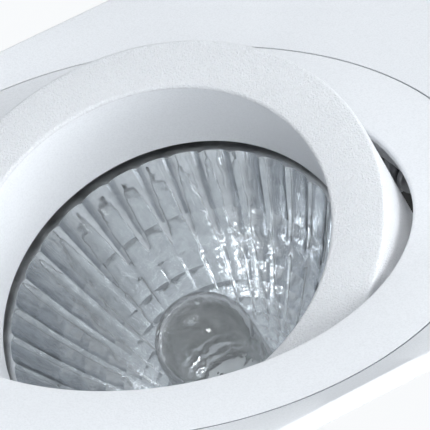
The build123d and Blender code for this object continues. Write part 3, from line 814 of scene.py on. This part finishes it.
class SPOT_OT_lamp_reflector(bpy.types.Operator):
    """Models the lamp's fluted and faceted reflector bowl with its neck"""

    bl_idname = "spot.lamp_reflector"
    bl_label = "Lamp reflector"
    # Powers that fade the flutes towards the neck and narrow the ridges between them
    fade = 3
    narrowing = 4
    # Share of a mesh step within which a point is on a ridge
    ridge_share = 0.25

    def execute(self, context):
        sizes = context.scene.spot_lamp
        mouth_depth = sizes.front + sizes.glass
        rows = self.facet_rows(sizes)
        inside = self.pillowed(sizes, rows, mouth_depth)
        outside = [self.outer_point(sizes, radius, mouth_depth) for radius in rows[1:-1]]
        neck_outer = sizes.neck + sizes.neck_wall
        neck_top = mouth_depth + sizes.depth + sizes.wall / 2
        neck_end = mouth_depth + sizes.depth + sizes.neck_length
        corners = (
            inside
            + [(sizes.neck, neck_end), (neck_outer, neck_end), (neck_outer, neck_top)]
            + outside[::-1]
            + [(sizes.rim, mouth_depth + sizes.rim_height), (sizes.rim, mouth_depth)]
        )
        piece = start_piece("lamp_bowl")
        trace(corners, on_head)
        bpy.ops.mesh.select_all(action="SELECT")
        steps = sizes.flutes * sizes.flute_steps
        bpy.ops.mesh.spin(steps=steps, angle=tau, center=PIVOT, axis=REAR)
        end_piece(piece)
        self.hollow_flutes(piece, sizes, inside, rows)
        colour = context.scene.spot_finish.mirror
        front = mirror_coat("mirror_coat", colour, least=0.05, most=0.12)
        dress(piece, front, mirror_coat("satin_back_coat", darker(colour, 0.92), least=0.32, most=0.44))
        self.coat_back(piece)
        stand_for(piece, "lamp_reflector", "head")
        return {"FINISHED"}

    def coat_back(self, piece):
        """Gives the bowl's outside and the flat of its rim the second finish."""
        for face in piece.data.polygons:
            offset = face.center - PIVOT
            flat = offset - REAR * offset.dot(REAR)
            if face.normal.dot(flat) > 0 or face.normal.dot(REAR) < -FLAT:
                face.material_index = 1

    def facet_rows(self, sizes):
        """Radii of the facet rows' edges, from the mouth to the neck."""
        share = [step / sizes.rows for step in range(sizes.rows + 1)]
        ratio = sizes.neck / sizes.top_row
        return [sizes.mouth] + [sizes.top_row * ratio**step for step in share]

    def pillowed(self, sizes, rows, mouth_depth):
        """Section of the inside: each row bulges a little between its edges."""
        points = []
        for high, low in zip(rows, rows[1:]):
            for step in range(sizes.row_steps):
                share = step / sizes.row_steps
                radius = high + (low - high) * share
                chord = self.bowl_depth(sizes, high)
                chord += (self.bowl_depth(sizes, low) - chord) * share
                bulge = sizes.row_bulge * 4 * share * (1 - share) if high < sizes.mouth else 0.0
                slope = (high + low) / (4 * self.focal(sizes))
                lean = sqrt(1 + slope**2)
                points.append((radius - bulge * slope / lean, mouth_depth + chord - bulge / lean))
        return points + [(rows[-1], mouth_depth + self.bowl_depth(sizes, rows[-1]))]

    def focal(self, sizes):
        """Focal length of the bowl's parabola."""
        return (sizes.mouth**2 - sizes.neck**2) / (4 * sizes.depth)

    def bowl_depth(self, sizes, radius):
        """Depth of the bowl below its mouth at a radius."""
        return (sizes.mouth**2 - radius**2) / (4 * self.focal(sizes))

    def outer_point(self, sizes, radius, mouth_depth):
        """Point of the bowl's outside, one wall away from its inside."""
        slope = radius / (2 * self.focal(sizes))
        step = sizes.wall / sqrt(1 + slope**2)
        return radius + step * slope, mouth_depth + self.bowl_depth(sizes, radius) + step

    def hollow_flutes(self, piece, sizes, inside, rows):
        """Draws the ridges between the flutes inwards and keeps each facet's edges crisp."""
        depths = {round(depth / SAME): radius for radius, depth in inside}
        side = REAR.cross(TILT)
        bowl = piece.data
        ridges = set()
        row_of = {}
        for point in bowl.vertices:
            offset = point.co - PIVOT
            depth = offset.dot(REAR)
            flat = offset - REAR * depth
            radius = depths.get(round(depth / SAME))
            if radius is None or abs(flat.length - radius) > 2 * SAME:
                continue
            turn = atan2(flat.dot(side), flat.dot(TILT)) / tau * sizes.flutes
            across = turn % 1.0
            drop = sizes.flute_depth * (radius / sizes.mouth) ** self.fade
            drop *= (2 * across - 1) ** self.narrowing
            point.co = PIVOT + REAR * depth + flat.normalized() * (radius - drop)
            row_of[point.index] = radius
            if min(across, 1 - across) < self.ridge_share / sizes.flute_steps:
                ridges.add(point.index)
        for edge in bowl.edges:
            start, end = edge.vertices
            if start in row_of and end in row_of:
                along_row = row_of[start] == row_of[end] and row_of[start] in rows
                edge.use_edge_sharp = along_row or {start, end} <= ridges


class SPOT_OT_lamp_glass(bpy.types.Operator):
    """Models the lamp's front glass and its domed capsule"""

    bl_idname = "spot.lamp_glass"
    bl_label = "Lamp glass"
    # Section of the sealed tip, as radius and depth in millimetres from the dome's crown
    tip_profile = ((0, -0.6), (0.55, -0.5), (1.05, -0.22), (1.4, 0.08), (1.75, 0.24))
    # Angle from the lamp's axis at which the dome goes on from the tip, in degrees
    tip_angle = 18
    # Mesh steps round the disc and round the capsule
    disc_steps = 160
    capsule_steps = 96

    def dome(self, radius, middle, start, steps=14):
        """Section of a round dome, from an angle in degrees to its widest place."""
        turns = [radians(start + (90 - start) * step / steps) for step in range(steps + 1)]
        return [(radius * sin(turn), middle - radius * cos(turn)) for turn in turns]

    def execute(self, context):
        sizes = context.scene.spot_lamp
        colours = context.scene.spot_finish
        edge = sizes.rim - sizes.glass_inset
        rear = sizes.front + sizes.glass
        disc = turned(
            "front_glass_disc",
            [
                (0, sizes.front),
                (edge, sizes.front, sizes.glass_round),
                (edge, rear, sizes.glass_back_round),
                (0, rear),
            ],
            on_head,
            PIVOT,
            REAR,
            self.disc_steps,
        )
        dress(disc, clear_glass("front_glass", colours.glass, ior=1.12))
        stand_for(disc, "lamp_front_glass", "head")
        tip = sizes.front + sizes.capsule_front
        end = tip + sizes.capsule_length
        middle = tip + sizes.capsule
        bore = sizes.capsule - sizes.capsule_wall
        nub = [(radius * MM, tip + depth * MM) for radius, depth in self.tip_profile]
        outside = self.dome(sizes.capsule, middle, self.tip_angle)
        inside = self.dome(bore, middle, 0)
        capsule = turned(
            "capsule_bulb",
            nub + outside + [(sizes.capsule, end), (bore, end)] + inside[::-1],
            on_head,
            PIVOT,
            REAR,
            self.capsule_steps,
        )
        quartz = clear_glass(
            "quartz", colours.glass, ior=1.5, clearness=0.95, waves=380.0, wave_depth=0.5 * MM
        )
        dress(capsule, quartz)
        stand_for(capsule, "lamp_capsule", "head")
        return {"FINISHED"}


class SPOT_OT_fittings(bpy.types.Operator):
    """Gives the carried-over fittings their finishes"""

    bl_idname = "spot.fittings"
    bl_label = "Fittings"

    def execute(self, context):
        colours = context.scene.spot_finish
        finishes = {
            plated_sheet("zinc_sheet", colours.zinc): (
                "clip_bracket_left",
                "clip_bracket_right",
                "clip_arm_left",
                "clip_arm_right",
            ),
            drawn_metal("turned_steel", colours.steel, rough=0.24): (
                "bracket_screws",
                "clip_pin_left",
                "clip_pin_right",
                "pivot_screws",
                "snap_ring",
            ),
            drawn_metal("spring_wire", colours.wire, rough=0.28): (
                "clip_spring_left",
                "clip_spring_right",
                "lamp_snap_wire",
            ),
            moulded("nylon_washers", colours.nylon, rough=0.4, grain=2200.0): (
                "friction_washer",
                "pivot_washers",
            ),
            moulded("pad_rubber", colours.rubber, rough=0.6, grain=1800.0): (
                "clip_pad_left",
                "clip_pad_right",
            ),
            fired_ceramic("fired_ceramic", colours.ceramic): ("lamp_base", "lamp_holder"),
            drawn_metal("nickel_pins", colours.nickel, rough=0.18): ("lamp_pins",),
            drawn_metal("brass_contacts", colours.brass, rough=0.25): ("holder_contacts",),
            drawn_metal("tungsten_wire", colours.tungsten, rough=0.35): ("lamp_filament",),
            moulded("cloudy_seal", colours.seal, rough=0.25, grain=900.0): ("lamp_pinch",),
        }
        for material, nodes in finishes.items():
            for node in nodes:
                dress(frame["nodes"][node], material)
        return {"FINISHED"}


class SPOT_OT_stage(bpy.types.Operator):
    """Sets up the ceiling panel, floor, lights, world and camera"""

    bl_idname = "spot.stage"
    bl_label = "Stage"
    # The photograph's back and right directions, fitted to its circles and edges
    view_back = Vector((0.3973, -0.7292, -0.5572))
    view_right = Vector((-0.8216, -0.5530, 0.1380))
    # Rise of a direction from which the room gives way to the void, and at which only the void is left
    void_start = 0.05
    void_full = 0.3
    # Mesh steps round the ceiling's cut-out
    cut_out_steps = 128

    def execute(self, context):
        settings = context.scene.spot_stage
        context.scene.view_settings.view_transform = "Standard"
        self.camera(context, settings)
        self.surroundings(context, settings)
        self.ceiling(settings)
        self.floor(settings)
        self.lights(context, settings)
        return {"FINISHED"}

    def axes(self):
        """The photograph's right, up and back directions, square to each other."""
        back = self.view_back.normalized()
        right = (self.view_right - back * self.view_right.dot(back)).normalized()
        return right, back.cross(right), back

    def camera(self, context, settings):
        """The photograph's camera."""
        right, up, back = self.axes()
        bpy.ops.object.camera_add()
        camera = context.object
        camera.name = "photo_camera"
        turn = Matrix((right, up, back)).transposed().to_4x4()
        place = Vector(settings.target) + back * settings.distance
        camera.matrix_world = Matrix.Translation(place) @ turn
        camera.data.sensor_width = 36.0
        camera.data.lens = settings.lens
        camera.data.clip_start = 0.05
        camera.data.clip_end = 20.0
        context.scene.camera = camera

    def shown_ray(self, shader):
        """1 on the rays that show a surface itself: seen, mirrored or through glass."""
        path = shader.node("LightPath")
        total = path.outputs["Is Camera Ray"]
        for name in ("Is Glossy Ray", "Is Transmission Ray"):
            both = shader.node("Math")
            both.operation = "MAXIMUM"
            shader.link(total, both.inputs[0])
            shader.link(path.outputs[name], both.inputs[1])
            total = both.outputs["Value"]
        return total

    def surroundings(self, context, settings):
        """A pale room below, and a dim void above the ceiling."""
        world = bpy.data.worlds.new("soft_room")
        world.use_nodes = True
        context.scene.world = world
        tree = world.node_tree
        light = tree.nodes["Background"]
        light.inputs["Color"].default_value = (*settings.room_light, 1.0)
        pale = tree.nodes.new("ShaderNodeBackground")
        pale.inputs["Color"].default_value = (*settings.room_look, 1.0)
        choice = tree.nodes.new("ShaderNodeMixShader")
        path = tree.nodes.new("ShaderNodeLightPath")
        way = tree.nodes.new("ShaderNodeSeparateXYZ")
        tree.links.new(tree.nodes.new("ShaderNodeTexCoord").outputs["Generated"], way.inputs["Vector"])
        for shown, below, above in (
            (pale, 1.0, settings.void),
            (light, settings.ambient, settings.overhead),
        ):
            dim = tree.nodes.new("ShaderNodeMapRange")
            dim.inputs["From Min"].default_value = self.void_start
            dim.inputs["From Max"].default_value = self.void_full
            dim.inputs["To Min"].default_value = below
            dim.inputs["To Max"].default_value = above
            tree.links.new(way.outputs["Z"], dim.inputs["Value"])
            tree.links.new(dim.outputs["Result"], shown.inputs["Strength"])
        tree.links.new(path.outputs["Is Camera Ray"], choice.inputs["Fac"])
        tree.links.new(light.outputs["Background"], choice.inputs[1])
        tree.links.new(pale.outputs["Background"], choice.inputs[2])
        tree.links.new(choice.outputs["Shader"], tree.nodes["World Output"].inputs["Surface"])

    def ceiling(self, settings):
        """A ceiling panel with the round cut-out, seen from below and clear from above."""
        bpy.ops.object.select_all(action="DESELECT")
        bpy.ops.mesh.primitive_circle_add(
            vertices=self.cut_out_steps, radius=settings.cut_out, fill_type="NOTHING"
        )
        panel = bpy.context.object
        panel.name = "ceiling_panel"
        bpy.ops.object.mode_set(mode="EDIT")
        bpy.ops.mesh.select_all(action="SELECT")
        bpy.ops.mesh.extrude_edges_move()
        factor = settings.panel / 2 / settings.cut_out
        bpy.ops.transform.resize(value=(factor, factor, 1))
        bpy.ops.mesh.select_all(action="SELECT")
        bpy.ops.mesh.normals_make_consistent(inside=False)
        # A hair under the plate's back, so that the back stays lit from above
        bpy.ops.transform.translate(value=(0, 0, -settings.panel_gap))
        bpy.ops.object.mode_set(mode="OBJECT")
        if panel.data.polygons[0].normal.z > 0:
            panel.data.flip_normals()
        shader = Shader("ceiling_paint")
        shader.set(Base_Color=settings.ceiling_paint, Roughness=0.9)
        glow = shader.node("Emission")
        glow.inputs["Color"].default_value = (*settings.ceiling_look, 1.0)
        paint = shader.surface.outputs["BSDF"]
        seen = shader.mix(self.shown_ray(shader), paint, glow.outputs["Emission"])
        clear = shader.node("BsdfTransparent").outputs["BSDF"]
        from_above = shader.node("NewGeometry").outputs["Backfacing"]
        dress(panel, shader.show(shader.mix(from_above, seen, clear)))

    def floor(self, settings):
        """A pale floor far below, part lit and part even where it shows."""
        bpy.ops.object.select_all(action="DESELECT")
        bpy.ops.mesh.primitive_plane_add(size=settings.floor_side)
        floor = bpy.context.object
        floor.name = "pale_floor"
        floor.data.transform(Matrix.Translation((0, 0, -settings.floor_drop)))
        shader = Shader("floor_paint")
        patches = shader.noise(scale=2.0)
        dark, light = settings.floor_dark, settings.floor_light
        shader.finish(shader.ramp(patches, low=0.3, high=0.7, dark=dark, light=light))
        shader.set(Roughness=0.8)
        glow = shader.node("Emission")
        glow.inputs["Color"].default_value = (*settings.floor_look, 1.0)
        share = shader.node("Math")
        share.operation = "MULTIPLY"
        share.inputs[1].default_value = settings.floor_share
        shader.link(self.shown_ray(shader), share.inputs[0])
        paint = shader.surface.outputs["BSDF"]
        seen = shader.mix(share.outputs["Value"], paint, glow.outputs["Emission"])
        dress(floor, shader.show(seen))

    def lights(self, context, settings):
        """Area lights that face the part, and one low in the room that faces the floor."""
        for name, way, distance, size, strength, tint in (
            ("key_soft_box", Vector((-0.60, -0.76, -0.29)), 0.9, 0.6, settings.key, (0.96, 0.98, 1.0)),
            ("sparkle_light", Vector((0.04, -0.53, -0.85)), 1.3, 0.18, settings.sparkle, (0.97, 0.99, 1.0)),
            ("fill_soft_box", Vector((0.25, -0.91, -0.33)), 1.0, 0.5, settings.fill, (0.97, 0.99, 1.0)),
            ("upper_soft_box", Vector((-0.5, 0.3, 1.0)), 1.2, 1.0, settings.top, (1.0, 0.99, 0.97)),
            ("floor_soft_box", UP, -2.4, 6.2, settings.pool, (0.97, 0.985, 1.0)),
        ):
            bpy.ops.object.light_add(type="AREA")
            lamp = context.object
            lamp.name = name
            lamp.data.energy = strength
            lamp.data.size = size
            lamp.data.color = tint
            way = way.normalized()
            turn = way.to_track_quat("Z", "Y").to_matrix().to_4x4()
            lamp.matrix_world = Matrix.Translation(way * distance) @ turn
            lamp.visible_camera = False
            # The fill light stays out of the mirror and the glass
            mirrored = name != "fill_soft_box"
            lamp.visible_glossy = mirrored
            lamp.visible_transmission = mirrored


class SPOT_PT_sidebar(bpy.types.Panel):
    """Lists the spotlight's pieces and the stage"""

    bl_label = "Ceiling spotlight"
    bl_idname = "SPOT_PT_sidebar"
    bl_space_type = "VIEW_3D"
    bl_region_type = "UI"
    bl_category = "Spotlight"

    def draw(self, context):
        for operator in OPERATORS:
            self.layout.operator(operator.bl_idname)
        for holder in SETTINGS:
            group = getattr(context.scene, holder)
            box = self.layout.box()
            for name in group.__annotations__:
                box.prop(group, name)


SETTINGS = {
    "spot_plate": PlateSizes,
    "spot_ring": RingSizes,
    "spot_lamp": LampSizes,
    "spot_finish": Finishes,
    "spot_stage": StageSettings,
}
OPERATORS = (
    SPOT_OT_trim_plate,
    SPOT_OT_swivel_ring,
    SPOT_OT_tilt_ring,
    SPOT_OT_lamp_reflector,
    SPOT_OT_lamp_glass,
    SPOT_OT_fittings,
    SPOT_OT_stage,
)
CLASSES = (*SETTINGS.values(), *OPERATORS, SPOT_PT_sidebar)


def register():
    for kind in CLASSES:
        bpy.utils.register_class(kind)
    for holder, kind in SETTINGS.items():
        setattr(bpy.types.Scene, holder, bpy.props.PointerProperty(type=kind))


def unregister():
    for holder in SETTINGS:
        delattr(bpy.types.Scene, holder)
    for kind in reversed(CLASSES):
        bpy.utils.unregister_class(kind)


def main():
    register()
    bpy.ops.spot.trim_plate()
    bpy.ops.spot.swivel_ring()
    bpy.ops.spot.tilt_ring()
    bpy.ops.spot.lamp_reflector()
    bpy.ops.spot.lamp_glass()
    bpy.ops.spot.fittings()
    bpy.ops.spot.stage()


if __name__ == "__main__":
    main()
